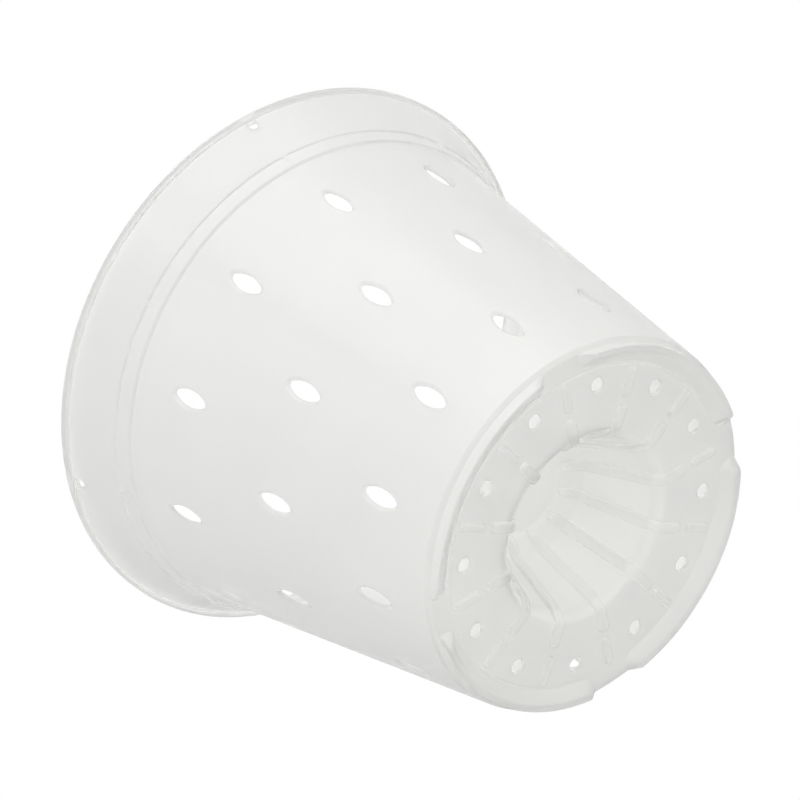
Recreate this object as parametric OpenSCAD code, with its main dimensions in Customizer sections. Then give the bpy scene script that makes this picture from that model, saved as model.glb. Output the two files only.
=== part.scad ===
// Clear orchid pot: a tapered wall with rows of almond slots, a flared collar with a turned-down
// lip, a ribbed cone raised in the floor, drain holes between the ribs, and low slanted feet.
// Z points up and the feet stand on z = 0. X points at the gap between two feet.

/* [Overall] */
// Diameter across the lip
lip_d = 120; // [116:0.5:130]
// Height from the table to the top of the lip
pot_h = 98.4; // [94:0.2:106]
// Thickness of the moulded skin
skin = 0.9; // [0.7:0.05:1.1]

/* [Wall] */
// Diameter at which the line of the wall would meet the underside of the floor
base_d = 79.4; // [76:0.2:84]
// Diameter of the wall just under the stacking ledge
wall_top_d = 104.9; // [98:0.2:109]
// Distance from the top of the lip down to the stacking ledge
ledge_z = 14.7; // [11.4:0.1:20.4]
// Height at which the heel ends and the slotted wall begins
heel_z = 4.2; // [3.6:0.1:6]
// Radial width of the slanted edge of the heel
heel_edge_w = 0.75; // [0.5:0.05:1.1]
// Height of the slanted edge of the heel
heel_edge_h = 0.95; // [0.6:0.05:1.3]

/* [Slots] */
// Number of slots in each row
slots_per_row = 12; // [8:1:16]
// Length of a slot, along the height of the pot
slot_l = 8.7; // [6:0.1:12]
// Width of a slot at its middle
slot_w = 3.7; // [2.6:0.1:5.6]
// Height of the middle of the lowest row
slot_low_z = 17.2; // [14:0.1:22]
// Distance between rows
slot_pitch = 26.15; // [20:0.05:27]

/* [Shoulder and collar] */
// Radial width of the stacking ledge
ledge_w = 0.7; // [0.4:0.05:1.2]
// Height that the ledge climbs over its width
ledge_rise = 0.25; // [0.1:0.05:0.6]
// Height of the band between the ledge and the collar
band_h = 2.75; // [2:0.05:4]
// Radial growth of the band over its height
band_flare = 0.8; // [0.4:0.05:1.2]
// Radial step from the band out to the collar
collar_step = 0.46; // [0.3:0.02:0.8]
// Number of small lugs that bridge the step
lug_count = 8; // [4:1:12]
// Width of a lug
lug_w = 0.9; // [0.6:0.1:2]

/* [Lip] */
// Distance that the lip stands out past the top of the collar
lip_overhang = 1.15; // [1.05:0.05:2]
// Thickness of the flat top of the lip
lip_t = 0.85; // [0.7:0.05:1.2]
// Thickness of the turned-down edge
lip_edge_t = 0.9; // [0.7:0.05:1]
// Height of the turned-down edge
lip_drop = 2.2; // [1.6:0.1:4]
// Number of hanger holes
hanger_count = 4; // [2:1:6]
// Diameter of the pin that shapes a hanger hole
hanger_d = 4.4; // [3:0.1:6]
// Depth that a hanger hole bites into the collar
hanger_bite = 0.7; // [0.4:0.05:0.8]

/* [Feet] */
// Height of the feet, which is also the height of the underside of the floor
foot_h = 2.1; // [1.6:0.1:3]
// Radial width of a foot where it meets the floor
foot_w = 3.8; // [3.4:0.1:4.6]
// Radial width of the flat underside of a foot
foot_flat_w = 1.6; // [1.2:0.1:2.4]
// Number of feet
foot_count = 4; // [3:1:5]
// Angle of the gap between two feet, in degrees
foot_gap_angle = 13; // [8:0.5:30]
// Distance that the floor overhangs the groove of a foot along its sides
groove_ease = 0.15; // [0.1:0.05:0.4]

/* [Floor] */
// Number of ribs, and of drain holes between them
rib_count = 12; // [8:1:14]
// Height of the ribs below the floor and inside the cone
rib_h = 0.9; // [0.5:0.05:1.2]
// Width of a floor rib
floor_rib_w = 1.8; // [1:0.1:2.6]
// Length of a floor rib
floor_rib_l = 6.5; // [4:0.1:7]
// Clearance between a floor rib and the foot outside it
rib_foot_gap = 1.15; // [0.3:0.05:1.5]
// Break between a floor rib and the cone rib in line with it
rib_break = 1.7; // [0.8:0.1:2]
// Diameter of a drain hole
drain_d = 3.1; // [2:0.1:5]

/* [Cone] */
// Diameter of the cone where it rises from the floor
cone_foot_d = 40.8; // [36:0.2:43]
// Height of the cone above the underside of the floor
cone_h = 20.4; // [14:0.2:30]
// Diameter of the flat cap
cap_d = 19.6; // [15:0.2:22]
// Radial width of the sloped shoulder round the cap
shoulder_run = 3.7; // [2:0.1:4.4]
// Height of the sloped shoulder round the cap
shoulder_drop = 3.6; // [2:0.1:5]
// Radial width of the slanted skirt at the foot of the cone
skirt_run = 1.7; // [0.8:0.1:2.4]
// Height of the slanted skirt at the foot of the cone
skirt_rise = 2.4; // [1.4:0.1:4]
// Width of a cone rib
cone_rib_w = 2.3; // [1.2:0.1:3]
// Distance from the edge of the cap to the tip of a cone rib
rib_tip_gap = 0.2; // [0.1:0.1:1]

/* [Hidden] */
$fn = 96;
slot_rows = 3;
lip_r = lip_d / 2;
base_r = base_d / 2;
wall_top_r = wall_top_d / 2;
floor_z = foot_h;
floor_top = floor_z + skin;
foot_out_r = base_r - heel_edge_w;
floor_r = foot_out_r - skin / 2;
lip_under_z = pot_h - lip_t;
wall_top_z = pot_h - ledge_z;
lip_inner_r = lip_r - lip_edge_t;
collar_top_r = lip_r - lip_overhang;

// Slope of the wall and the skin measured level through it
wall_slope = (wall_top_r - base_r) / (wall_top_z - floor_z);
wall_level_t = skin * sqrt(1 + wall_slope * wall_slope);

// Corners of the skin, on the side away from the soil, from the cap down and out to the lip
cap_edge = [cap_d / 2, floor_z + cone_h];
cone_shoulder = [cap_d / 2 + shoulder_run, floor_z + cone_h - shoulder_drop];
cone_knee = [cone_foot_d / 2 - skirt_run, floor_z + skirt_rise];
cone_foot = [cone_foot_d / 2, floor_z];
wall_top = [wall_top_r, wall_top_z];
ledge_edge = wall_top + [ledge_w, ledge_rise];
band_top = ledge_edge + [band_flare, band_h];
collar_foot = band_top + [collar_step, 0];
collar_top = [collar_top_r, lip_under_z];

// Feet and ribs follow the wall inwards
foot_in_r = foot_out_r - foot_w;
foot_slant = (foot_w - foot_flat_w) / foot_h;
foot_end_r = foot_w - foot_flat_w / 2;
foot_end_angle = asin(foot_end_r / (foot_out_r - foot_flat_w / 2));
foot_half_angle = (360 / foot_count - foot_gap_angle) / 2 - foot_end_angle;
groove_out_r = foot_out_r - skin;
groove_slant_t = skin * sqrt(1 + foot_slant * foot_slant);
groove_min_w = 0.1;
groove_z = max(skin, (skin + groove_slant_t + groove_min_w - foot_flat_w) / foot_slant);
groove_flat_w = foot_flat_w - skin - groove_slant_t + foot_slant * groove_z;
mouth_w = groove_flat_w + foot_slant * (floor_z - groove_z) - 2 * groove_ease;
mouth_r = groove_out_r - groove_ease - mouth_w / 2;
floor_rib_out = foot_in_r - rib_foot_gap;
floor_rib_in = floor_rib_out - floor_rib_l;
drain_r = (floor_rib_out + floor_rib_in) / 2;
cone_rib_out = floor_rib_in - rib_break;
cone_rib_in = cap_d / 2 + rib_tip_gap;
hanger_r = collar_top_r - hanger_bite + hanger_d / 2;
past = 1;

function unit(v) = v / norm(v);
function left_of(v) = [-v[1], v[0]];
// Corner b of the line a-b-c, moved to the left of the line by t
function mitre(a, b, c, t) =
    let (n1 = left_of(unit(b - a)), n2 = left_of(unit(c - b)))
    b + t * (n1 + n2) / (1 + n1 * n2);
// End b of the line a-b, moved level so that the line has thickness t
function level_end(a, b, t) = [b[0] - t * norm(b - a) / (b[1] - a[1]), b[1]];
function wall_r(z) = base_r + (z - floor_z) * wall_slope;
function tier_floor(k) = k == 0 ? heel_z : slot_low_z + (k - 0.5) * slot_pitch;
function two_digits(k) = str(k < 10 ? "0" : "", k);

// Matching corners on the soil side
cap_edge_in = mitre([0, cap_edge[1]], cap_edge, cone_shoulder, skin);
cone_shoulder_in = mitre(cap_edge, cone_shoulder, cone_knee, skin);
cone_knee_in = mitre(cone_shoulder, cone_knee, cone_foot, skin);
cone_foot_in = mitre(cone_knee, cone_foot, [base_r, floor_z], skin);
wall_top_in = mitre([base_r, floor_z], wall_top, ledge_edge, skin);
ledge_edge_in = mitre(wall_top, ledge_edge, band_top, skin);
band_top_in = mitre(ledge_edge, band_top, collar_foot, skin);
collar_foot_in = mitre(band_top, collar_foot, collar_top, skin);
collar_top_in = level_end(collar_foot, collar_top, skin);

rib_nodes = [for (k = [1 : rib_count]) str("floor_rib_", two_digits(k))];
cone_rib_nodes = [for (k = [1 : rib_count]) str("cone_rib_", two_digits(k))];
foot_nodes = [for (k = [1 : foot_count]) str("foot_", k)];
lug_nodes = [for (k = [1 : lug_count]) str("stacking_lug_", k)];

module clear_plastic() {
    color([0.92, 0.93, 0.92, 0.6]) children();
}

// A stadium-shaped bar along X, from radius r1 to r2, between the heights z1 and z2
module bar(r1, r2, w, z1, z2) {
    translate([r1 + w / 2, -w / 2, z1]) cube([r2 - r1 - w, w, z2 - z1]);
    translate([r1 + w / 2, 0, z1]) cylinder(d = w, h = z2 - z1);
    translate([r2 - w / 2, 0, z1]) cylinder(d = w, h = z2 - z1);
}

// An almond-shaped cutter along X, as long as slot_l in height, through the wall only
module slot_cutter() {
    arc_r = (slot_l * slot_l + slot_w * slot_w) / (4 * slot_w);
    rotate([0, 90, 0]) intersection() {
        translate([0, arc_r - slot_w / 2, base_r / 2]) cylinder(r = arc_r, h = lip_r);
        translate([0, slot_w / 2 - arc_r, base_r / 2]) cylinder(r = arc_r, h = lip_r);
    }
}

module slot_row(k) {
    step = 360 / slots_per_row;
    for (i = [0 : slots_per_row - 1])
        rotate([0, 0, (i + (k % 2) / 2) * step])
            translate([0, 0, slot_low_z + k * slot_pitch])
                slot_cutter();
}

module wall_tier(k) {
    z1 = tier_floor(k);
    z2 = tier_floor(k + 1);
    top = k == slot_rows - 1 ? wall_top : [wall_r(z2), z2];
    top_in = k == slot_rows - 1 ? wall_top_in : [wall_r(z2) - wall_level_t, z2];
    clear_plastic() difference() {
        rotate_extrude() polygon([[wall_r(z1) - wall_level_t, z1], [wall_r(z1), z1], top, top_in]);
        slot_row(k);
    }
}

module hanger_holes() {
    for (i = [0 : hanger_count - 1])
        rotate([0, 0, i * 360 / hanger_count])
            intersection() {
                translate([hanger_r, 0, 0]) cylinder(d = hanger_d, h = pot_h + past);
                cylinder(r = lip_inner_r, h = pot_h + past);
            }
}

module lip() {
    edge_z = pot_h - lip_drop;
    clear_plastic() difference() {
        rotate_extrude() polygon([
            [collar_top_in[0], lip_under_z],
            [lip_inner_r, lip_under_z],
            [lip_inner_r, edge_z],
            [lip_r, edge_z],
            [lip_r, pot_h],
            [collar_top_in[0], pot_h]
        ]);
        hanger_holes();
    }
}

module collar() {
    clear_plastic() difference() {
        rotate_extrude() polygon([
            band_top, collar_foot, collar_top, collar_top_in, collar_foot_in, band_top_in
        ]);
        hanger_holes();
    }
}

module stacking_shoulder() {
    clear_plastic() rotate_extrude() polygon([
        wall_top, ledge_edge, band_top, band_top_in, ledge_edge_in, wall_top_in
    ]);
}

// Lug k stands in the corner between the band and the collar
module stacking_lug(k) {
    clear_plastic() intersection() {
        rotate_extrude() polygon([ledge_edge, collar_foot, band_top]);
        rotate([0, 0, (k - 1) * 360 / lug_count])
            translate([0, -lug_w / 2, 0]) cube([lip_r, lug_w, pot_h]);
    }
}

module heel() {
    edge_z = floor_z + heel_edge_h;
    clear_plastic() rotate_extrude() polygon([
        [floor_r, floor_z],
        [foot_out_r, floor_z],
        [wall_r(edge_z), edge_z],
        [wall_r(heel_z), heel_z],
        [wall_r(heel_z) - wall_level_t, heel_z],
        [wall_r(floor_top) - wall_level_t, floor_top],
        [floor_r, floor_top]
    ]);
}

// A curved ridge with round ends, as long as a foot. It is flat_w wide at the height z1, with an
// upright side at the radius out_r, and grows inwards by the slant of the feet up to the height z2
module foot_ridge(out_r, flat_w, z1, z2) {
    grow = foot_slant * (z2 - z1);
    rotate([0, 0, -foot_half_angle])
        rotate_extrude(angle = 2 * foot_half_angle)
            polygon([[out_r - flat_w, z1], [out_r, z1], [out_r, z2], [out_r - flat_w - grow, z2]]);
    for (side = [-1, 1])
        intersection() {
            rotate([0, 0, side * foot_half_angle])
                translate([out_r - flat_w / 2, 0, z1])
                    cylinder(r1 = flat_w / 2, r2 = flat_w / 2 + grow, h = z2 - z1);
            cylinder(r = out_r, h = z2);
        }
}

// A foot is a ridge that is hollow from above, so it is a groove on the soil side
module foot(k) {
    clear_plastic() rotate([0, 0, (k - 0.5) * 360 / foot_count]) difference() {
        foot_ridge(foot_out_r, foot_flat_w, 0, floor_z);
        foot_ridge(groove_out_r, groove_flat_w, groove_z, floor_top + past);
    }
}

// The mouth of a groove in the floor is a curved slot with round ends, narrower than the groove
module groove_mouth() {
    rotate([0, 0, -foot_half_angle])
        rotate_extrude(angle = 2 * foot_half_angle)
            translate([mouth_r - mouth_w / 2, foot_h / 2]) square([mouth_w, floor_top]);
    for (side = [-1, 1])
        rotate([0, 0, side * foot_half_angle])
            translate([mouth_r, 0, foot_h / 2]) cylinder(d = mouth_w, h = floor_top);
}

// The floor is open over the groove of each foot
module floor_plate() {
    clear_plastic() difference() {
        rotate_extrude() polygon([
            cone_foot, [floor_r, floor_z], [floor_r, floor_top], cone_foot_in
        ]);
        for (i = [0 : rib_count - 1])
            rotate([0, 0, (i + 0.5) * 360 / rib_count])
                translate([drain_r, 0, 0]) cylinder(d = drain_d, h = floor_top + past);
        for (i = [0 : foot_count - 1])
            rotate([0, 0, (i + 0.5) * 360 / foot_count])
                groove_mouth();
    }
}

module floor_rib(k) {
    clear_plastic() rotate([0, 0, (k - 1) * 360 / rib_count])
        bar(floor_rib_in, floor_rib_out, floor_rib_w, floor_z - rib_h, floor_z);
}

// A cone rib lies on the underside of the floor and runs on up the inside of the cone
module cone_rib(k) {
    outer_end = [cone_rib_out + past, floor_z];
    tip_normal = left_of(unit(cone_shoulder - cap_edge));
    clear_plastic() intersection() {
        rotate_extrude() polygon([
            cap_edge,
            cone_shoulder,
            cone_knee,
            cone_foot,
            outer_end,
            outer_end - [0, rib_h],
            mitre(cone_knee, cone_foot, outer_end, -rib_h),
            mitre(cone_shoulder, cone_knee, cone_foot, -rib_h),
            mitre(cap_edge, cone_shoulder, cone_knee, -rib_h),
            cap_edge - rib_h * tip_normal
        ]);
        rotate([0, 0, (k - 1) * 360 / rib_count])
            bar(cone_rib_in, cone_rib_out, cone_rib_w, 0, floor_z + cone_h + past);
    }
}

module cone_ring(a, b, b_in, a_in) {
    clear_plastic() rotate_extrude() polygon([a, b, b_in, a_in]);
}

module cone_cap() {
    clear_plastic() rotate_extrude() polygon([
        [0, cap_edge[1]], cap_edge, cap_edge_in, [0, cap_edge_in[1]]
    ]);
}

lip();
collar();
stacking_shoulder();
wall_tier(2);  // upper_wall
wall_tier(1);  // middle_wall
wall_tier(0);  // lower_wall
heel();
floor_plate();  // floor
cone_ring(cone_foot, cone_knee, cone_knee_in, cone_foot_in);  // cone_skirt
cone_ring(cone_knee, cone_shoulder, cone_shoulder_in, cone_knee_in);  // cone_wall
cone_ring(cone_shoulder, cap_edge, cap_edge_in, cone_shoulder_in);
cone_cap();
for (k = [1 : foot_count])
    foot(k);
for (k = [1 : lug_count])
    stacking_lug(k);
for (k = [1 : rib_count])
    floor_rib(k);
for (k = [1 : rib_count])
    cone_rib(k);
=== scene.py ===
# %% [markdown]
# # A clear orchid pot with slots
#
# The real pot is one injection moulding in clear, slightly milky polypropylene. In the photograph it
# is seen from below and from the side, so the ribbed floor, the slotted wall and the rolled lip all show.
# This lesson builds the moulding the way its mould does: a turned skin, then the ribs and feet that the
# mould adds to it, and last the holes that the mould's pins leave. All sizes are in millimetres here
# and become metres when a mesh is made, because the frame is in metres.

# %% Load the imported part
import bpy
import bmesh
import math
import numpy as np
from mathutils import Matrix, Vector


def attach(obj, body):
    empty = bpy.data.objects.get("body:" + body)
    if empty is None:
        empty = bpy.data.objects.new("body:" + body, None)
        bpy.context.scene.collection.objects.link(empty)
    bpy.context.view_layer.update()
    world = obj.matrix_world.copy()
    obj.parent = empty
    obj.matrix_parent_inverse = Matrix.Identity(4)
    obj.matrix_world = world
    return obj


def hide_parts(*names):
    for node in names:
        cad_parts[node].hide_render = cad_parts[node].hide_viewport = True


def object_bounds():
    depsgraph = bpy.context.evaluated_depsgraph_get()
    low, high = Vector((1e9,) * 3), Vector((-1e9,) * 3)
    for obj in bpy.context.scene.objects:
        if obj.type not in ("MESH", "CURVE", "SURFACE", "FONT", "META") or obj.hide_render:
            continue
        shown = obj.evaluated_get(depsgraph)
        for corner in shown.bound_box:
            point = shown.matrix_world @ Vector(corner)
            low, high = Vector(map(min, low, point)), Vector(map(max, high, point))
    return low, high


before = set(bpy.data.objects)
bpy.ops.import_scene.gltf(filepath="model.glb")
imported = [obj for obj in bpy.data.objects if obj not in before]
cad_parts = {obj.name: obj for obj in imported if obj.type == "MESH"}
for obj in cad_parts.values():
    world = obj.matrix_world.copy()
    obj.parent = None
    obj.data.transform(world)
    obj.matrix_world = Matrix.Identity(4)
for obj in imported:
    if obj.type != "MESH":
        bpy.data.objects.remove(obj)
cad_low, cad_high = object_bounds()
MM = 0.001
print("CAD box in mm:", [round(v / MM, 2) for v in cad_low], [round(v / MM, 2) for v in cad_high])

# %% [markdown]
# ## Sizes
#
# The sizes are the same named values as in the part's source. Those that can be read from the packed
# solids, such as the width and the height, come from the frame, so the looks stay on the solids.

# %% Name the sizes of the pot
lip_r = min(cad_high[0], cad_high[1], -cad_low[0], -cad_low[1]) / MM
pot_h = cad_high[2] / MM
skin = 0.9
edge_t, edge_h, lip_t, collar_inset = 0.9, 2.2, 0.85, 1.15
base_r, wall_top_r, wall_top_z = 39.7, 52.45, pot_h - 14.7
ledge_w, ledge_rise, band_slope_w, band_h, collar_step = 0.7, 0.25, 0.8, 2.75, 0.46
slot_l, slot_w, slot_low_z, slot_pitch = 8.7, 3.7, 17.2, 26.15
heel_edge_w, heel_edge_h = 0.75, 0.95
foot_h, foot_w, foot_flat_w, foot_gap_angle = 2.1, 3.8, 1.6, 13.0
rib_h, floor_rib_w, floor_rib_l = 0.9, 1.8, 6.5
drain_d, hanger_r, hanger_bite = 3.1, 2.2, 0.7
cone_h, cap_r, cone_shoulder_w, cone_shoulder_h = 20.4, 9.8, 3.7, 3.6
cone_knee_r, cone_knee_h, cone_foot_r = 18.7, 2.4, 20.4
floor_z, floor_top = foot_h, foot_h + skin
foot_out_r = base_r - heel_edge_w
foot_in_r = foot_out_r - foot_w
wall_slope = (wall_top_r - base_r) / (wall_top_z - floor_z)
print("lip radius", round(lip_r, 3), "height", round(pot_h, 3), "wall slope", round(wall_slope, 4))

# %% [markdown]
# ## The camera
#
# The photograph looks up at the pot from below with a long lens. The camera's place, aim and roll were
# found by fitting the lip, ledge, floor and slot rings to the photograph, so a pixel of the render and
# a pixel of the photograph show the same spot of the pot.

# %% Place the camera below the pot
camera_place = Vector((0.45874, -0.36677, -0.51747))
camera_aim = Vector((0.00193, 0.00239, 0.06448))
camera_roll = math.radians(-59.685)
ahead = (camera_aim - camera_place).normalized()
level = ahead.cross(Vector((0, 0, 1))).normalized()
upright = level.cross(ahead)
across = level * math.cos(camera_roll) + upright * math.sin(camera_roll)
upward = upright * math.cos(camera_roll) - level * math.sin(camera_roll)
lens = bpy.data.cameras.new("photo_camera")
lens.sensor_width = 36
lens.lens = 179.32
lens.clip_end = 20
camera = bpy.data.objects.new("photo_camera", lens)
bpy.context.scene.collection.objects.link(camera)
turned_to_pot = Matrix((across, upward, -ahead)).transposed().to_4x4()
camera.matrix_world = Matrix.Translation(camera_place) @ turned_to_pot
bpy.context.scene.camera = camera
bpy.context.scene.view_settings.view_transform = "Standard"
print("camera distance", round((camera_aim - camera_place).length, 3), "m")

# %% [markdown]
# ## The profile of the skin
#
# A turned shape starts as a line from the axis out to the lip and back again inside. The corners come
# first and are then rounded, each with the radius that the real pot shows: wide at the heel and the cone,
# nearly sharp at the step under the collar. A bevel modifier could round the corners later, but rounding
# the line itself gives clean rows of faces, and clear plastic shows every uneven face.

# %% Round the corners of a line
def mitre(a, b, c, t):
    """Corner b of the line a-b-c, moved to its left by t."""
    a, b, c = (np.array(p, float) for p in (a, b, c))
    n1, n2 = ((np.array([-d[1], d[0]]) / np.hypot(*d)) for d in (b - a, c - b))
    return b + t * (n1 + n2) / (1 + n1 @ n2)


def rounded(corners, radii, steps=6):
    """The line through the corners, with an arc of the given radius at each."""
    line = []
    for i, (p, radius) in enumerate(zip(corners, radii)):
        p = np.array(p, float)
        if radius == 0 or i in (0, len(corners) - 1):
            line.append(p)
            continue
        u, v = np.array(corners[i - 1], float) - p, np.array(corners[i + 1], float) - p
        lu, lv = np.hypot(*u), np.hypot(*v)
        u, v = u / lu, v / lv
        half = math.acos(max(-1, min(1, u @ v))) / 2
        reach = min(radius / math.tan(half), 0.48 * lu, 0.48 * lv)
        radius = reach * math.tan(half)
        centre = p + (u + v) / np.hypot(*(u + v)) * radius / math.sin(half)
        start = math.atan2(*(p + u * reach - centre)[::-1])
        turn = (math.atan2(*(p + v * reach - centre)[::-1]) - start + math.pi) % (2 * math.pi) - math.pi
        angles = [start + turn * k / steps for k in range(steps + 1)]
        line += [centre + radius * np.array([math.cos(a), math.sin(a)]) for a in angles]
    return line


print("a square corner becomes", len(rounded([(0, 0), (1, 0), (1, 1)], [0, 0.2, 0])), "points")

# %% Draw the profile from the cap of the cone to the lip and back
cap_edge = (cap_r, floor_z + cone_h)
cone_shoulder = (cap_r + cone_shoulder_w, floor_z + cone_h - cone_shoulder_h)
cone_knee = (cone_knee_r, floor_z + cone_knee_h)
cone_foot = (cone_foot_r, floor_z)
heel = (base_r, floor_z)
wall_top = (wall_top_r, wall_top_z)
ledge_edge = (wall_top_r + ledge_w, wall_top_z + ledge_rise)
band_top = (ledge_edge[0] + band_slope_w, ledge_edge[1] + band_h)
collar_foot = (band_top[0] + collar_step, band_top[1])
collar_top = (lip_r - collar_inset, pot_h - lip_t)
chain = [(0, cap_edge[1]), cap_edge, cone_shoulder, cone_knee, cone_foot, heel, wall_top,
         ledge_edge, band_top, collar_foot, collar_top]
inside = [mitre(*chain[i - 1:i + 2], skin) for i in range(1, len(chain) - 1)]
step_r, step_w, step_h = foot_in_r - 0.9, 0.12, 0.15
base_ring = [(step_r, floor_z), (step_r + step_w, floor_z + step_h), (foot_out_r, floor_z + step_h),
             (base_r + heel_edge_h * wall_slope, floor_z + heel_edge_h)]
run, rise = collar_top[0] - collar_foot[0], collar_top[1] - collar_foot[1]
lip_inner_r = collar_top[0] - skin * math.hypot(run, rise) / rise
lip_ring = [(lip_r - edge_t, collar_top[1]), (lip_r - edge_t, pot_h - edge_h), (lip_r, pot_h - edge_h),
            (lip_r, pot_h), (lip_inner_r, pot_h), (lip_inner_r, collar_top[1])]
stretches = [
    (chain[:5], [0, 1.3, 2.6, 1.6, 1.3]),
    (base_ring, [0.05, 0.05, 0.15, 0.18]),
    (chain[6:], [0.45, 0.45, 0.04, 0.12, 0.4]),
    (lip_ring, [0.12, 0.4, 0.4, 0.6, 0.5, 0.3]),
    (inside[::-1], [0.3, 0.1, 0.25, 0.3, 1.1, 2.2, 0.7, 1.7, 2.2]),
    ([(0, cap_edge[1] + skin)], [0])]
corners = [corner for stretch, _ in stretches for corner in stretch]
radii = [radius for _, stretch in stretches for radius in stretch]
profile = np.array(rounded(corners, radii))
print("profile:", len(corners), "corners,", len(profile), "points")

# %% [markdown]
# ## Turning the skin
#
# The profile turns round the axis like clay on a wheel. The Screw modifier does the same, but doing it in
# mesh code closes the seam and both poles at once and keeps the faces pointing outwards.

# %% Turn the profile round the axis
def mesh_object(name, points, faces):
    """An object in metres from points in millimetres, with its faces turned outwards."""
    mesh = bpy.data.meshes.new(name)
    mesh.from_pydata([Vector(p) * MM for p in points], [], faces)
    work = bmesh.new()
    work.from_mesh(mesh)
    bmesh.ops.recalc_face_normals(work, faces=work.faces)
    work.to_mesh(mesh)
    work.free()
    thing = bpy.data.objects.new(name, mesh)
    bpy.context.scene.collection.objects.link(thing)
    return thing


def quads(start, count):
    """The faces between the loop of count points that begins at start and the loop after it."""
    return [(start + k, start + (k + 1) % count, start + count + (k + 1) % count, start + count + k)
            for k in range(count)]


def turned(name, line, steps):
    """A closed body from a line that starts and ends on the axis."""
    angles = [2 * math.pi * (k + 0.5) / steps for k in range(steps)]
    ring = [(math.cos(a), math.sin(a)) for a in angles]
    points = [(0, 0, line[0][1])] + [(r * c, r * s, z) for r, z in line[1:-1] for c, s in ring]
    points.append((0, 0, line[-1][1]))
    rows, last = len(line) - 2, len(points) - 1
    faces = [(0, 1 + (k + 1) % steps, 1 + k) for k in range(steps)]
    faces += [(last, last - steps + k, last - steps + (k + 1) % steps) for k in range(steps)]
    for i in range(rows - 1):
        faces += quads(1 + i * steps, steps)
    return mesh_object(name, points, faces)


steps_round = 320
moulding = turned("orchid_pot_moulding", profile, steps_round)
print("skin:", len(moulding.data.polygons), "faces")

# %% [markdown]
# ## Pins and bars
#
# Every rib, foot, slot and hole is a closed loop that changes its size as it goes up or in: wide at the
# mouth of a hole, narrow below, or wide at the foot of a rib and rounded at its crest. So one helper lofts
# a stack of loops into a closed body, and each feature is a short list of loops.

# %% Loft a stack of loops
def lofted(name, loops):
    """A closed body from loops that have the same number of points."""
    n = len(loops[0])
    points = [p for loop in loops for p in loop]
    faces = [tuple(range(n)), tuple(range(len(points) - n, len(points)))]
    for i in range(len(loops) - 1):
        faces += quads(i * n, n)
    return mesh_object(name, points, faces)


def almond(length, width, tip, steps=10):
    """Points of an almond and their outward directions, with tips of the given radius."""
    l, w = length - 2 * tip, width - 2 * tip
    arc = (l * l + w * w) / (4 * w)
    half = math.asin(l / 2 / arc)
    spots = []
    for side in (1, -1):
        for k in range(steps + 1):
            a = half * (1 - 2 * k / steps)
            spots.append((side * (arc * math.cos(a) - arc + w / 2), side * arc * math.sin(a),
                          side * math.cos(a), side * math.sin(a)))
        for k in (1, 2, 3):
            a = -half - (math.pi - 2 * half) * k / 4
            spots.append((0, side * arc * math.sin(-half), side * math.cos(a), side * math.sin(a)))
    return spots


slot_tip = 0.9
slot_spots = almond(slot_l, slot_w, slot_tip)
print("almond:", len(slot_spots), "points")

# %% [markdown]
# A slot has a soft dish on the outside, is narrowest in the middle of the skin and opens a little again
# inside. Each level below is a height over the wall's outer face and how far the almond grows there. The
# wall leans, so the pin leans with it, and the pin follows the wall's roundness.

# %% Shape a slot pin for each row
slot_levels = ((1.2, 1.15), (0.1, 0.78), (-0.03, 0.52), (-0.15, 0.27), (-0.32, 0.06), (-0.5, -0.1),
               (-0.75, -0.15), (-0.88, -0.1), (-1.8, 0.6))
slot_rows = 3


def slot_pin(row):
    z0 = slot_low_z + row * slot_pitch
    r0 = base_r + (z0 - floor_z) * wall_slope
    lean = math.atan(wall_slope)
    loops = []
    for height, grow in slot_levels:
        loop = []
        for spot_y, spot_z, out_y, out_z in slot_spots:
            y = spot_y + (slot_tip + grow) * out_y
            z = spot_z + (slot_tip + grow) * out_z
            loop.append((r0 + height * math.cos(lean) + z * math.sin(lean) - (y * y) / (2 * r0), y,
                         z0 - height * math.sin(lean) + z * math.cos(lean)))
        loops.append(loop)
    return lofted("slot_pin_%d" % (row + 1), loops)


slot_pins = [slot_pin(row) for row in range(slot_rows)]
print("slot pins:", [len(p.data.vertices) for p in slot_pins], "points")

# %% [markdown]
# A drain hole is round with soft edges, midway between the ends of the floor ribs. A hanger hole is where
# a leg of a wire hanger hooks in: a D-shaped pin goes through the lip and bites the collar, and a small
# half-round window opens the collar under the turned-down edge.

# %% Shape the drain pin and the hanger pins
def round_pin(name, x0, levels, steps=32):
    """A pin that stands on its end at x0, with a radius at each height."""
    angles = [2 * math.pi * k / steps for k in range(steps)]
    return lofted(name, [[(x0 + r * math.cos(a), r * math.sin(a), z) for a in angles] for r, z in levels])


floor_rib_gap = 1.15
floor_rib_out = foot_in_r - floor_rib_gap
floor_rib_in = floor_rib_out - floor_rib_l
drain_r = (floor_rib_out + floor_rib_in) / 2
half_drain = drain_d / 2
drain_pin = round_pin("drain_pin", drain_r, [
    (half_drain + 0.9, floor_z - 0.7), (half_drain + 0.2, floor_z), (half_drain + 0.06, floor_z + 0.1),
    (half_drain, floor_z + 0.25), (half_drain, floor_top - 0.2), (half_drain + 0.05, floor_top - 0.08),
    (half_drain + 0.15, floor_top), (half_drain + 0.8, floor_top + 0.7)])


def hanger_pin():
    """The D-shaped pin that goes through the lip, bites the collar and stops at the turned-down edge."""
    r, edge_x = hanger_r, lip_r - edge_t
    x0 = collar_top[0] - hanger_bite + r
    half = math.pi - math.acos((edge_x - x0) / r)
    arc = [math.pi - half + 2 * half * k / 24 for k in range(25)]
    return lofted("hanger_pin", [[(x0 + r * math.cos(a), r * math.sin(a), z) for a in arc]
                                 for z in (pot_h - 1.6, pot_h + 1)])


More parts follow.
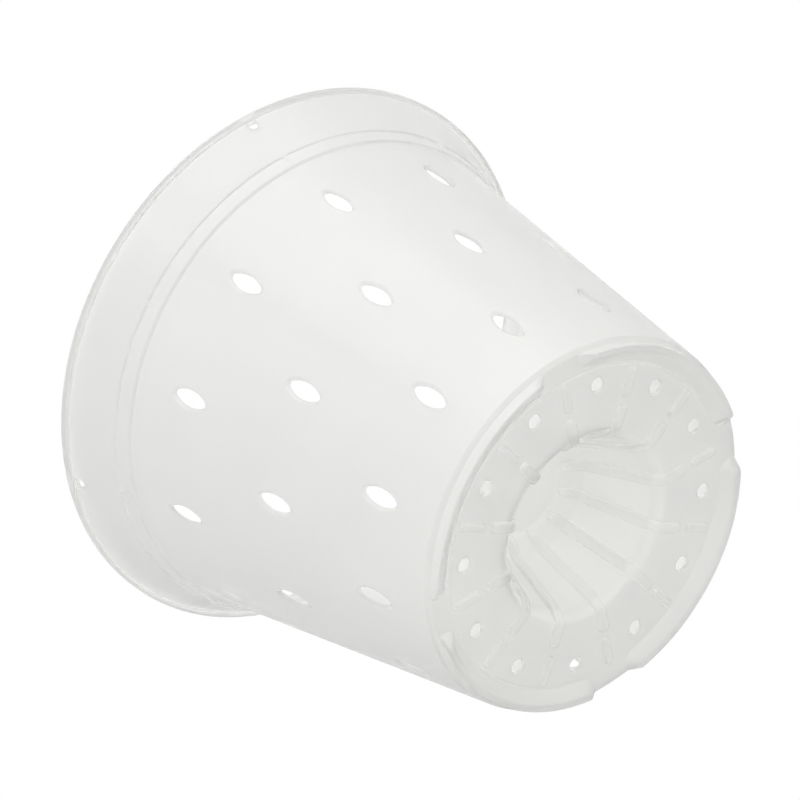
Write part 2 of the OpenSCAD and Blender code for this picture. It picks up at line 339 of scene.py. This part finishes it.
def hanger_window():
    """The half-round pin that opens the collar just under the turned-down edge."""
    half_w, drop, top, middle = 1.2, 1.15, pot_h - 1.3, pot_h - 2.15
    inner_x, outer_x = lip_r - 4.5, lip_r - 1.0
    angles = [math.pi * (1 + k / 24) for k in range(25)]
    outline = [(half_w * math.cos(a), middle + drop * math.sin(a)) for a in angles]
    outline += [(half_w, top), (-half_w, top)]
    return lofted("hanger_window", [[(x, y, z) for y, z in outline] for x in (inner_x, outer_x)])


hanger, window = hanger_pin(), hanger_window()
print("drain holes on a circle of", round(2 * drain_r, 1), "mm")

# %% [markdown]
# ## Ribs and feet
#
# The floor ribs are short bars with round ends. The cone ribs follow the profile: each runs in over the
# floor, up the skirt and the flank of the cone, and ends in a bullet-shaped tip at the edge of the cap.
# A curve with a bevel profile could sweep them, but its ends can't taper in width and height apart, so the
# cross-section is lofted along the profile instead. Only the first points of the profile are needed for
# that, since the rest is the wall, the lip and the inside.

# %% Shape a floor rib
def stadium(x1, x2, half_w, z, steps=8):
    """The outline of a bar from x1 to x2 with round ends."""
    turns = [math.pi * k / steps for k in range(steps + 1)]
    loop = [(x2 - half_w + half_w * math.sin(t), -half_w * math.cos(t), z) for t in turns]
    loop += [(x1 + half_w - half_w * math.sin(t), half_w * math.cos(t), z) for t in turns]
    return loop


def floor_rib():
    """A bar that starts inside the floor and gets narrower towards its crest."""
    w = floor_rib_w / 2
    levels = ((0.12, floor_z + 0.35), (0.06, floor_z), (0.0, floor_z - 0.2), (-0.05, floor_z - 0.5),
              (-0.14, floor_z - 0.7), (-0.28, floor_z - 0.84), (-0.5, floor_z - rib_h))
    return lofted("floor_rib", [stadium(floor_rib_in - g, floor_rib_out + g, w + g, z) for g, z in levels])


floor_bar = floor_rib()
print("floor rib from", round(floor_rib_in, 1), "to", round(floor_rib_out, 1), "mm from the axis")

# %% Find the line that the cone ribs follow
cone_rib_in, cone_rib_out = cap_r + 0.2, floor_rib_in - 1.7
floor_reach = 30.0
outside_points = 40


def rib_path(spacing=0.8):
    """Close points along the profile, from inside the rib's tip to outside its tail, and their distances."""
    under = [p for p in profile[:outside_points] if p[1] <= cap_edge[1] + 1e-6 and p[0] <= floor_reach]
    under.append(np.array([floor_reach, floor_z]))
    line = []
    for a, b in zip(under, under[1:]):
        n = max(1, int(np.hypot(*(b - a)) / spacing))
        line += [a + (b - a) * k / n for k in range(n)]
    line = np.array(line)
    line = line[(line[:, 0] >= cone_rib_in - 0.8) & (line[:, 0] <= cone_rib_out + 0.5)]
    way = np.concatenate([[0], np.cumsum(np.hypot(*np.diff(line, axis=0).T))])
    return line, way


rib_line, rib_way = rib_path()
print("cone rib path:", len(rib_line), "points,", round(rib_way[-1], 1), "mm long")

# %% Shape a cone rib along that line
rib_tip_l, rib_tail_l, rib_half_w = 3.2, 1.15, 1.15
rib_section = [(-1.05, -0.35), (-1.03, 0.05), (-0.98, 0.45), (-0.9, 0.72), (-0.74, 0.9), (-0.5, 0.98),
               (0, 1.0), (0.5, 0.98), (0.74, 0.9), (0.9, 0.72), (0.98, 0.45), (1.03, 0.05), (1.05, -0.35)]


def bulge(share):
    """The height of a quarter circle, from nearly 0 at its start to 1 at its end."""
    return max(0.02, math.sqrt(max(0, 1 - (1 - share) ** 2)))


def cone_rib():
    """The rib's section at stations along the path, smaller towards the tip and the tail."""
    def at(s):
        return np.array([np.interp(s, rib_way, rib_line[:, 0]), np.interp(s, rib_way, rib_line[:, 1])])

    s_in, s_out = (np.interp(end, rib_line[:, 0], rib_way) for end in (cone_rib_in, cone_rib_out))
    tip = [s_in + rib_tip_l * u for u in (0, 0.02, 0.07, 0.15, 0.27, 0.42, 0.6, 0.8, 1)]
    tail = [s_out - rib_tail_l * u for u in (0, 0.04, 0.14, 0.3, 0.5, 0.75, 1)]
    between = [s for s in rib_way if s_in + rib_tip_l < s < s_out - rib_tail_l]
    loops = []
    for s in sorted(set(tip + tail + between)):
        p, forward = at(s), at(s + 0.4) - at(s - 0.4)
        forward /= np.hypot(*forward)
        out = np.array([forward[1], -forward[0]])
        full = bulge(min(1, (s - s_in) / rib_tip_l)) * bulge(min(1, (s_out - s) / rib_tail_l))
        w = rib_half_w * full
        h = rib_h * min(1, full * 1.25)
        lifts = [(y, h * e if e > 0 else rib_h * e) for y, e in rib_section]
        loops.append([(p[0] + out[0] * lift, w * y, p[1] + out[1] * lift) for y, lift in lifts])
    return lofted("cone_rib", loops)


cone_bar = cone_rib()
print("cone rib:", len(cone_bar.data.polygons), "faces")

# %% [markdown]
# A foot is a low ridge along the heel. Its outer side stands upright, its inner side slants down to the
# floor, and its ends are parts of a cone. From the inside of the pot it is a groove of the same form, one
# skin thinner all round. Both are the same outline, which grows inwards from level to level.

# %% Shape a foot and the groove inside it
foot_slant = (foot_w - foot_flat_w) / foot_h
foot_end_r = foot_w - foot_flat_w / 2
foot_half = math.radians(45 - foot_gap_angle / 2) - math.asin(foot_end_r / (foot_out_r - foot_flat_w / 2))


def ridge_loop(out_r, flat_w, rise, grow, z, steps=44, end_steps=12):
    """The outline of a ridge at the height rise above its flat, pushed out by grow."""
    mid_r = out_r - flat_w / 2
    side_r, end_r = out_r + grow, flat_w / 2 + foot_slant * rise + grow
    meet = math.acos(min(1, (mid_r ** 2 + side_r ** 2 - end_r ** 2) / (2 * mid_r * side_r)))
    start = math.atan2(side_r * math.sin(meet), side_r * math.cos(meet) - mid_r)
    end = []
    for k in range(1, end_steps):
        turn = start + (math.pi - start) * k / end_steps
        x, y = mid_r + end_r * math.cos(turn), end_r * math.sin(turn)
        end.append((x * math.cos(foot_half) - y * math.sin(foot_half),
                    x * math.sin(foot_half) + y * math.cos(foot_half)))
    arc = foot_half + meet
    loop = [(side_r * math.cos(arc * (2 * k / steps - 1)), side_r * math.sin(arc * (2 * k / steps - 1)))
            for k in range(steps + 1)]
    loop += end
    loop += [((mid_r - end_r) * math.cos(foot_half * (1 - 2 * k / steps)),
              (mid_r - end_r) * math.sin(foot_half * (1 - 2 * k / steps))) for k in range(steps + 1)]
    loop += [(x, -y) for x, y in end[::-1]]
    return [(x, y, z) for x, y in loop]


foot_levels = ((-0.3, 0.0), (-0.17, 0.03), (-0.07, 0.1), (-0.015, 0.22), (0, 0.4), (0, floor_z),
               (0, floor_z + 0.35), (-0.3, floor_top - 0.12))
foot_block = lofted("foot_block", [ridge_loop(foot_out_r, foot_flat_w, z, g, z) for g, z in foot_levels])
groove_out_r, groove_z = foot_out_r - skin, skin
groove_slant_t = skin * math.hypot(1, foot_slant)
groove_flat_w = foot_flat_w - skin - groove_slant_t + foot_slant * groove_z
groove_levels = ((-0.1, groove_z), (-0.03, groove_z + 0.06), (0, groove_z + 0.2), (0, floor_top - 0.3),
                 (0.03, floor_top - 0.15), (0.12, floor_top), (0.5, floor_top + 0.6))
groove_block = lofted("groove_block", [ridge_loop(groove_out_r, groove_flat_w, z - groove_z, g, z)
                                       for g, z in groove_levels])
print("foot arc:", round(2 * math.degrees(foot_half), 1), "degrees, floor to ground", foot_h, "mm")

# %% [markdown]
# A stacking lug is a small bar that fills the corner between the ledge, the band and the collar. Its five
# corners are drawn from the side and pushed out to its width.

# %% Shape a stacking lug
lug_half_w = 0.45
lug_side = ((ledge_edge[0] - 0.2, ledge_edge[1] + 0.5), (ledge_edge[0] + 0.1, ledge_edge[1] + 0.25),
            (collar_foot[0] + 0.02, collar_foot[1] - 0.02), (collar_foot[0] - 0.05, collar_foot[1] + 0.3),
            (band_top[0] - 0.3, band_top[1] + 0.3))
lug = lofted("stacking_lug", [[(x, y, z) for x, z in lug_side] for y in (-lug_half_w, lug_half_w)])
print("stacking lug:", len(lug.data.vertices), "corners")

# %% [markdown]
# ## Repeating round the pot
#
# Twelve slots in a row, twelve drain holes, twelve ribs, four feet: everything repeats round the axis.
# Geometry Nodes do this well. The tree takes one object, sets copies at even angles and makes them real,
# because the export drops instances.

# %% Build the tree that repeats a piece round the axis
def ring_tree():
    """Copies of one object at even angles round the axis, made real and given a material."""
    tree = bpy.data.node_groups.new("repeat_round_axis", "GeometryNodeTree")
    face = tree.interface
    face.new_socket("Piece", in_out="INPUT", socket_type="NodeSocketObject")
    face.new_socket("Copies", in_out="INPUT", socket_type="NodeSocketInt")
    face.new_socket("First Angle", in_out="INPUT", socket_type="NodeSocketFloat")
    face.new_socket("Material", in_out="INPUT", socket_type="NodeSocketMaterial")
    face.new_socket("Geometry", in_out="OUTPUT", socket_type="NodeSocketGeometry")
    add = tree.nodes.new
    source, out = add("NodeGroupInput"), add("NodeGroupOutput")
    piece = add("GeometryNodeObjectInfo")
    points = add("GeometryNodePoints")
    index = add("GeometryNodeInputIndex")
    step, angle = add("ShaderNodeMath"), add("ShaderNodeMath")
    step.operation = "DIVIDE"
    step.inputs[0].default_value = 2 * math.pi
    angle.operation = "MULTIPLY_ADD"
    turn = add("ShaderNodeCombineXYZ")
    copies = add("GeometryNodeInstanceOnPoints")
    real = add("GeometryNodeRealizeInstances")
    paint = add("GeometryNodeSetMaterial")
    link = tree.links.new
    link(source.outputs["Piece"], piece.inputs["Object"])
    link(source.outputs["Copies"], points.inputs["Count"])
    link(source.outputs["Copies"], step.inputs[1])
    link(index.outputs[0], angle.inputs[0])
    link(step.outputs[0], angle.inputs[1])
    link(source.outputs["First Angle"], angle.inputs[2])
    link(angle.outputs[0], turn.inputs["Z"])
    link(points.outputs[0], copies.inputs["Points"])
    link(piece.outputs["Geometry"], copies.inputs["Instance"])
    link(turn.outputs[0], copies.inputs["Rotation"])
    link(copies.outputs[0], real.inputs[0])
    link(real.outputs[0], paint.inputs["Geometry"])
    link(source.outputs["Material"], paint.inputs["Material"])
    link(paint.outputs[0], out.inputs[0])
    return tree


repeat_round_axis = ring_tree()
print("ring tree:", len(repeat_round_axis.nodes), "nodes")


# %% Run the tree on a piece
def repeated(piece, copies, first_deg, material):
    """A plain mesh object that holds the piece, repeated round the axis."""
    host = bpy.data.objects.new(piece.name + "_ring", bpy.data.meshes.new("host"))
    bpy.context.scene.collection.objects.link(host)
    nodes = host.modifiers.new("ring", "NODES")
    nodes.node_group = repeat_round_axis
    values = {"Piece": piece, "Copies": copies, "Material": material,
              "First Angle": math.radians(first_deg)}
    for item in repeat_round_axis.interface.items_tree:
        if item.in_out == "INPUT":
            nodes[item.identifier] = values[item.name]
    bpy.context.view_layer.update()
    ready = host.evaluated_get(bpy.context.evaluated_depsgraph_get())
    mesh = bpy.data.meshes.new_from_object(ready)
    bpy.data.objects.remove(host)
    ring = bpy.data.objects.new(piece.name + "_ring", mesh)
    bpy.context.scene.collection.objects.link(ring)
    print(piece.name, "x", copies)
    bpy.data.objects.remove(piece)
    return ring


# %% [markdown]
# ## The clear plastic
#
# Polypropylene is never as clear as glass: it is a little milky, its skin is satin, and the flow of the
# melt leaves faint cloudy streaks. So most of the light passes through with a soft blur, some scatters
# white, and both change a little over the surface. The hollow of the cone is given painted shade: its wall
# is painted a little greyer, and its ribs greyer again.
#
# Real polypropylene bends light by about 1.49. That value gives each thin rib a hard dark edge, while the
# photograph shows soft ones, so a lower bend is used here, and a full coat gives back the satin shine. A
# Glass shader would have no milk in it, and a volume would be slow to render and lost in the export. For
# shadows the light passes unbent, which keeps the shadow as pale as such a pot's.

# %% Make the flow and haze group
def haze_group():
    """Cloudy streaks that change the colour and the roughness, and a fine grain for the bump."""
    group = bpy.data.node_groups.new("moulded_haze", "ShaderNodeTree")
    face = group.interface
    for name, value in (("Cloud Scale", 60.0), ("Grain Scale", 900.0),
                        ("Low Roughness", 0.3), ("High Roughness", 0.4)):
        socket = face.new_socket(name, in_out="INPUT", socket_type="NodeSocketFloat")
        socket.default_value = value
    face.new_socket("Low Color", in_out="INPUT", socket_type="NodeSocketColor")
    face.new_socket("High Color", in_out="INPUT", socket_type="NodeSocketColor")
    face.new_socket("Color", in_out="OUTPUT", socket_type="NodeSocketColor")
    face.new_socket("Roughness", in_out="OUTPUT", socket_type="NodeSocketFloat")
    face.new_socket("Height", in_out="OUTPUT", socket_type="NodeSocketFloat")
    add, link = group.nodes.new, group.links.new
    source, out, place = add("NodeGroupInput"), add("NodeGroupOutput"), add("ShaderNodeTexCoord")
    cloud, grain = add("ShaderNodeTexNoise"), add("ShaderNodeTexNoise")
    cloud.inputs["Detail"].default_value = 3
    grain.inputs["Detail"].default_value = 2
    tint, rough = add("ShaderNodeMix"), add("ShaderNodeMapRange")
    tint.data_type = "RGBA"
    for noise, scale in ((cloud, "Cloud Scale"), (grain, "Grain Scale")):
        link(place.outputs["Object"], noise.inputs["Vector"])
        link(source.outputs[scale], noise.inputs["Scale"])
    link(cloud.outputs["Fac"], tint.inputs["Factor"])
    link(source.outputs["Low Color"], tint.inputs["A"])
    link(source.outputs["High Color"], tint.inputs["B"])
    link(cloud.outputs["Fac"], rough.inputs["Value"])
    rough.inputs["From Min"].default_value = 0.3
    rough.inputs["From Max"].default_value = 0.7
    link(source.outputs["Low Roughness"], rough.inputs["To Min"])
    link(source.outputs["High Roughness"], rough.inputs["To Max"])
    link(tint.outputs["Result"], out.inputs["Color"])
    link(rough.outputs["Result"], out.inputs["Roughness"])
    link(grain.outputs["Fac"], out.inputs["Height"])
    return group


moulded_haze = haze_group()
print("haze group:", len(moulded_haze.nodes), "nodes")

# %% [markdown]
# The painted shade of the cone is placed from the spot on the pot: the angle to the nearest rib gives the
# distance from the rib's middle line, and the distance from the axis tells where the cone begins and ends.

# %% Make the group that places painted shade in the hollow of the cone
rib_step = 2 * math.pi / 12
# The share of the painted shade that falls on the cone's wall between the ribs
cone_wall_shade = 0.4


def cone_shade_group():
    """Painted shade for the cone's hollow: 1 on its ribs, a part of that on its wall and 0 elsewhere."""
    group = bpy.data.node_groups.new("thick_cone", "ShaderNodeTree")
    group.interface.new_socket("Mask", in_out="OUTPUT", socket_type="NodeSocketFloat")
    add, link = group.nodes.new, group.links.new
    out, place, split = add("NodeGroupOutput"), add("ShaderNodeTexCoord"), add("ShaderNodeSeparateXYZ")
    link(place.outputs["Object"], split.inputs[0])

    def calc(operation, *values):
        node = add("ShaderNodeMath")
        node.operation = operation
        for socket, value in zip(node.inputs, values):
            if isinstance(value, (int, float)):
                socket.default_value = value
            else:
                link(value, socket)
        return node.outputs[0]

    def fade(value, start, end):
        """0 up to start, 1 from end, both in millimetres."""
        node = add("ShaderNodeMapRange")
        node.interpolation_type = "SMOOTHSTEP"
        link(value, node.inputs["Value"])
        node.inputs["From Min"].default_value = start * MM
        node.inputs["From Max"].default_value = end * MM
        return node.outputs["Result"]

    def times(a, b):
        return calc("MULTIPLY", a, b)

    x, y, z = split.outputs
    angle = calc("ARCTAN2", y, x)
    nearest = times(calc("ROUND", calc("DIVIDE", angle, rib_step)), rib_step)
    radius = calc("SQRT", calc("ADD", times(x, x), times(y, y)))
    off = calc("ABSOLUTE", times(radius, calc("SINE", calc("SUBTRACT", angle, nearest))))
    rib = calc("SUBTRACT", 1.0, fade(off, 0.95, 1.2))
    inner_end = fade(radius, cap_r + 0.3, cap_r + 1.5)
    outer_end = calc("SUBTRACT", 1.0, fade(radius, cone_foot_r - 1.2, cone_foot_r))
    painted_shade = times(calc("MAXIMUM", rib, cone_wall_shade), times(inner_end, outer_end))
    mask = times(painted_shade, fade(z, floor_top, floor_top + 1))
    link(mask, out.inputs["Mask"])
    return group


thick_cone = cone_shade_group()
print("cone group:", len(thick_cone.nodes), "nodes")

# %% Make the clear plastic
clear_plastic = bpy.data.materials.new("clear_milky_polypropylene")
clear_plastic.use_nodes = True
tree = clear_plastic.node_tree
add, link = tree.nodes.new, tree.links.new
surface = tree.nodes["Principled BSDF"]
for name, value in (("IOR", 1.2), ("Transmission Weight", 0.69),
                    ("Coat Weight", 1.0), ("Coat Roughness", 0.25)):
    surface.inputs[name].default_value = value
haze, cone, shade_mix = add("ShaderNodeGroup"), add("ShaderNodeGroup"), add("ShaderNodeMix")
haze.node_tree = moulded_haze
haze.inputs["Low Color"].default_value = (0.925, 0.925, 0.91, 1)
haze.inputs["High Color"].default_value = (0.945, 0.945, 0.935, 1)
cone.node_tree = thick_cone
shade_mix.data_type = "RGBA"
# Painted shade: the grey that the cone's hollow is mixed towards where the mask is 1
shade_mix.inputs["B"].default_value = (0.863, 0.863, 0.853, 1)
bump = add("ShaderNodeBump")
bump.inputs["Strength"].default_value = 0.05
bump.inputs["Distance"].default_value = 0.0002
link(cone.outputs["Mask"], shade_mix.inputs["Factor"])
link(haze.outputs["Color"], shade_mix.inputs["A"])
link(shade_mix.outputs["Result"], surface.inputs["Base Color"])
link(haze.outputs["Roughness"], surface.inputs["Roughness"])
link(haze.outputs["Height"], bump.inputs["Height"])
link(bump.outputs["Normal"], surface.inputs["Normal"])
print("plastic surface:", len(tree.nodes), "nodes")

# %% Let the light of shadows pass the plastic
light, seen = add("ShaderNodeLightPath"), add("ShaderNodeMixShader")
pass_on = add("ShaderNodeBsdfTransparent")
pass_on.inputs[0].default_value = (0.93, 0.93, 0.93, 1)
link(light.outputs["Is Shadow Ray"], seen.inputs["Fac"])
link(surface.outputs[0], seen.inputs[1])
link(pass_on.outputs[0], seen.inputs[2])
link(seen.outputs[0], tree.nodes["Material Output"].inputs["Surface"])
print("plastic:", len(tree.nodes), "nodes")

# %% [markdown]
# ## Joining the moulding
#
# Clear plastic shows every face inside it, so ribs and feet can't just be pushed into the skin: they have
# to be one body with it. Boolean modifiers do what the mould does: first they add the feet, ribs and lugs,
# then they take away the pins and the grooves inside the feet. The middle row of slots is turned by half a
# step against the rows above and below it.

# %% Add the bars and take away the pins
moulding.data.materials.append(clear_plastic)
added = [repeated(piece, copies, first_deg, clear_plastic) for piece, copies, first_deg in (
    (foot_block, 4, 45), (floor_bar, 12, 0), (cone_bar, 12, 0), (lug, 8, 0))]
taken = [repeated(slot_pins[row], 12, 15 * (row % 2), clear_plastic) for row in range(slot_rows)]
taken += [repeated(piece, copies, first_deg, clear_plastic) for piece, copies, first_deg in (
    (drain_pin, 12, 15), (groove_block, 4, 45), (hanger, 4, 0), (window, 4, 0))]
for part, way in [(p, "UNION") for p in added] + [(p, "DIFFERENCE") for p in taken]:
    join = moulding.modifiers.new(part.name, "BOOLEAN")
    join.operation = way
    join.object = part
    join.solver = "MANIFOLD"
bpy.context.view_layer.update()
joined = bpy.data.meshes.new_from_object(moulding.evaluated_get(bpy.context.evaluated_depsgraph_get()))
moulding.modifiers.clear()
old, moulding.data = moulding.data, joined
bpy.data.meshes.remove(old)
for part in added + taken:
    bpy.data.objects.remove(part)
print("moulding:", len(joined.vertices), "points,", len(joined.polygons), "faces")

# %% [markdown]
# ## Smooth light on a cut surface
#
# A boolean leaves long thin faces round each hole, and their averaged normals would wrinkle the
# reflections. The skin is a turned shape, so its true normal is known everywhere: it is read from the
# profile and written on the faces that lie on the skin. The other faces keep Blender's own normals. A
# Weighted Normal modifier would come close, but not close enough for clear plastic.

# %% Find the normals along the profile
def line_pieces(line, soft=0.95):
    """The line's pieces: starts, runs, lengths, normals, and normals at both ends, shared where soft."""
    keep = np.hypot(*(line[1:] - line[:-1]).T) > 1e-9
    starts, runs = line[:-1][keep], (line[1:] - line[:-1])[keep]
    lengths = np.hypot(*runs.T)
    normals = np.stack([runs[:, 1], -runs[:, 0]], 1) / lengths[:, None]
    shared = np.zeros((len(starts) + 1, 2))
    shared[:-1] += normals
    shared[1:] += normals
    shared /= np.maximum(1e-9, np.hypot(*shared.T))[:, None]
    first, last = shared[:-1].copy(), shared[1:].copy()
    for k, own in enumerate(normals):
        if first[k] @ own < soft:
            first[k] = own
        if last[k] @ own < soft:
            last[k] = own
    return starts, runs, lengths, normals, first, last


def nearest_piece(points, starts, runs, lengths):
    """For each point the distance from the profile, the nearest piece and the share of it passed there."""
    rz = np.stack([np.hypot(points[:, 0], points[:, 1]), points[:, 2]], 1)
    gap, which, share = np.full(len(rz), 1e9), np.zeros(len(rz), int), np.zeros(len(rz))
    for k in range(len(starts)):
        t = np.clip(((rz - starts[k]) @ runs[k]) / lengths[k] ** 2, 0, 1)
        d = np.hypot(*(rz - starts[k] - t[:, None] * runs[k]).T)
        hit = d < gap - 1e-9
        gap[hit], which[hit], share[hit] = d[hit], k, t[hit]
    return gap, which, share


def turned_normals(flat_normals, points):
    """Normals of the profile, turned to the side of the pot on which each point lies."""
    spin = points[:, :2] / np.maximum(1e-9, np.hypot(points[:, 0], points[:, 1]))[:, None]
    return np.concatenate([flat_normals[:, :1] * spin, flat_normals[:, 1:]], 1)


pieces = line_pieces(profile)
print("profile pieces:", len(pieces[0]))

# %% Write the true normals of the turned skin
def read(items, name, width, kind=float):
    """One property of all points, corners or faces as an array."""
    values = np.zeros(len(items) * width, kind)
    items.foreach_get(name, values)
    return values.reshape(-1, width) if width > 1 else values


def smooth_by_profile(mesh, sharp_deg=32, skin_gap=0.05, skin_match=0.97, inset=0.02):
    """Give the faces that lie on the skin its own normals, and say how many there are."""
    mesh.shade_smooth()
    mesh.set_sharp_from_angle(angle=math.radians(sharp_deg))
    starts, runs, lengths, line_normals, first, last = pieces
    points = read(mesh.vertices, "co", 3) / MM
    corner = read(mesh.loops, "vertex_index", 1, int)
    total = read(mesh.polygons, "loop_total", 1, int)
    owner = np.repeat(np.arange(len(total)), total)
    middle = np.stack([np.bincount(owner, points[corner, i]) / total for i in range(3)], 1)
    gap, which, _ = nearest_piece(middle, starts, runs, lengths)
    match = (turned_normals(line_normals[which], middle) * read(mesh.polygons, "normal", 3)).sum(1)
    on_skin = (gap < skin_gap) & (match > skin_match)
    mine = on_skin[owner]
    spots = points[corner[mine]]
    _, which, share = nearest_piece(spots + (middle[owner[mine]] - spots) * inset, starts, runs, lengths)
    blend = first[which] * (1 - share)[:, None] + last[which] * share[:, None]
    blend /= np.hypot(*blend.T)[:, None]
    normals = np.zeros((len(mesh.loops), 3))
    normals[mine] = turned_normals(blend, spots)
    mesh.normals_split_custom_set(normals.tolist())
    return int(on_skin.sum())


print("faces with the skin's own normals:", smooth_by_profile(joined), "of", len(joined.polygons))

# %% [markdown]
# ## Floor, light and background
#
# The pot stands on a pale floor with soft light all round. The photograph looks from below, so the floor
# shows only from above: from below it lets the camera and the light through. A plane with two materials
# could do that too, but one material that looks at its own back face needs only one sheet.

# %% Make the pale paper
floor_paper = bpy.data.materials.new("pale_floor")
floor_paper.use_nodes = True
tree = floor_paper.node_tree
add, link = tree.nodes.new, tree.links.new
paper, grain, tone = tree.nodes["Principled BSDF"], add("ShaderNodeTexNoise"), add("ShaderNodeMix")
paper.inputs["Roughness"].default_value = 0.9
grain.inputs["Scale"].default_value = 40
tone.data_type = "RGBA"
tone.inputs["A"].default_value = (0.93, 0.93, 0.93, 1)
tone.inputs["B"].default_value = (0.95, 0.95, 0.95, 1)
link(grain.outputs["Fac"], tone.inputs["Factor"])
link(tone.outputs["Result"], paper.inputs["Base Color"])
print("paper surface:", len(tree.nodes), "nodes")

# %% Show the floor only from above, and only to the camera and through the plastic
light, side = add("ShaderNodeLightPath"), add("ShaderNodeNewGeometry")
look, front, show = (add("ShaderNodeMath") for _ in range(3))
clear, mix = add("ShaderNodeBsdfTransparent"), add("ShaderNodeMixShader")
look.operation = "MAXIMUM"
front.operation = "SUBTRACT"
front.inputs[0].default_value = 1
show.operation = "MULTIPLY"
link(light.outputs["Is Camera Ray"], look.inputs[0])
link(light.outputs["Is Transmission Ray"], look.inputs[1])
link(side.outputs["Backfacing"], front.inputs[1])
link(look.outputs[0], show.inputs[0])
link(front.outputs[0], show.inputs[1])
link(show.outputs[0], mix.inputs["Fac"])
link(clear.outputs[0], mix.inputs[1])
link(paper.outputs[0], mix.inputs[2])
link(mix.outputs[0], tree.nodes["Material Output"].inputs["Surface"])
print("paper:", len(tree.nodes), "nodes")

# %% Lay the floor
floor_half = 3000
floor_corners = [(x * floor_half, y * floor_half, 0) for x, y in ((-1, -1), (1, -1), (1, 1), (-1, 1))]
ground = mesh_object("floor_sheet", floor_corners, [(0, 1, 2, 3)])
ground.data.materials.append(floor_paper)
print("floor:", 2 * floor_half * MM, "m wide")

# %% [markdown]
# Milky plastic gets its form from light that grows from one side to the other, as between a white table
# and a bright ceiling. So the surround that lights the milk is a little dimmer below than above. What the
# plastic shows through itself or mirrors comes from a second background, which is bright towards the upper
# left of the picture and dimmer on the other side: it draws each rib and foot with a soft grey line. The
# camera itself sees plain white. Big area lamps could do the same, but two backgrounds are free of noise.

# %% Make a background that is brighter on one side
def toward(turn_deg):
    """A direction that leans from the camera's line of sight to the upper left of the picture."""
    turn = math.radians(turn_deg)
    return ahead * math.cos(turn) + (upward - across).normalized() * math.sin(turn)


def side_light(tree, direction, bright_side, dim, full, low, high):
    """A background that grows from the strength low to high as the direction nears its bright side."""
    aim, ramp = tree.nodes.new("ShaderNodeVectorMath"), tree.nodes.new("ShaderNodeMapRange")
    aim.operation = "DOT_PRODUCT"
    aim.inputs[1].default_value = bright_side
    for name, value in (("From Min", dim), ("From Max", full), ("To Min", low), ("To Max", high)):
        ramp.inputs[name].default_value = value
    glow = tree.nodes.new("ShaderNodeBackground")
    tree.links.new(direction.outputs["Generated"], aim.inputs[0])
    tree.links.new(aim.outputs["Value"], ramp.inputs["Value"])
    tree.links.new(ramp.outputs["Result"], glow.inputs["Strength"])
    return glow


print("bright side for what shows through:", [round(v, 2) for v in toward(60)])

# %% Build the surround
world = bpy.context.scene.world or bpy.data.worlds.new("studio")
bpy.context.scene.world = world
world.use_nodes = True
tree = world.node_tree
tree.nodes.clear()
add, link = tree.nodes.new, tree.links.new
output, direction, light = add("ShaderNodeOutputWorld"), add("ShaderNodeTexCoord"), add("ShaderNodeLightPath")
surround = side_light(tree, direction, Vector((0, 0, 1)), -1, 1, 0.725, 1.02)
behind = side_light(tree, direction, toward(60), 0.0, 0.5, 0.45, 1.0)
white, through = add("ShaderNodeBackground"), add("ShaderNodeMath")
white.inputs["Color"].default_value = (1, 1, 1, 1)
white.inputs["Strength"].default_value = 1.0
through.operation = "MAXIMUM"
clear_mix, camera_mix = add("ShaderNodeMixShader"), add("ShaderNodeMixShader")
link(light.outputs["Is Transmission Ray"], through.inputs[0])
link(light.outputs["Is Glossy Ray"], through.inputs[1])
link(through.outputs[0], clear_mix.inputs["Fac"])
link(surround.outputs[0], clear_mix.inputs[1])
link(behind.outputs[0], clear_mix.inputs[2])
link(light.outputs["Is Camera Ray"], camera_mix.inputs["Fac"])
link(clear_mix.outputs[0], camera_mix.inputs[1])
link(white.outputs[0], camera_mix.inputs[2])
link(camera_mix.outputs[0], output.inputs["Surface"])
print("surround:", len(tree.nodes), "nodes")

# %% Place the softbox
pot_middle = Vector((0, 0, 0.05))


def softbox(name, place, width, power):
    """A round lamp that looks at the middle of the pot."""
    lamp = bpy.data.lights.new(name, "AREA")
    lamp.shape = "DISK"
    lamp.size = width
    lamp.energy = power
    box = bpy.data.objects.new(name, lamp)
    bpy.context.scene.collection.objects.link(box)
    box.location = place
    box.rotation_euler = (pot_middle - Vector(place)).to_track_quat("-Z", "Y").to_euler()
    return box


key = softbox("key_softbox", (1.19, 0.12, 0.1), 1.7, 5.2)
print("softbox:", round((key.location - pot_middle).length, 2), "m from the pot")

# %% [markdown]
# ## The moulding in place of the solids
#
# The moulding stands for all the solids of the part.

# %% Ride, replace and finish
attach(moulding, "root")
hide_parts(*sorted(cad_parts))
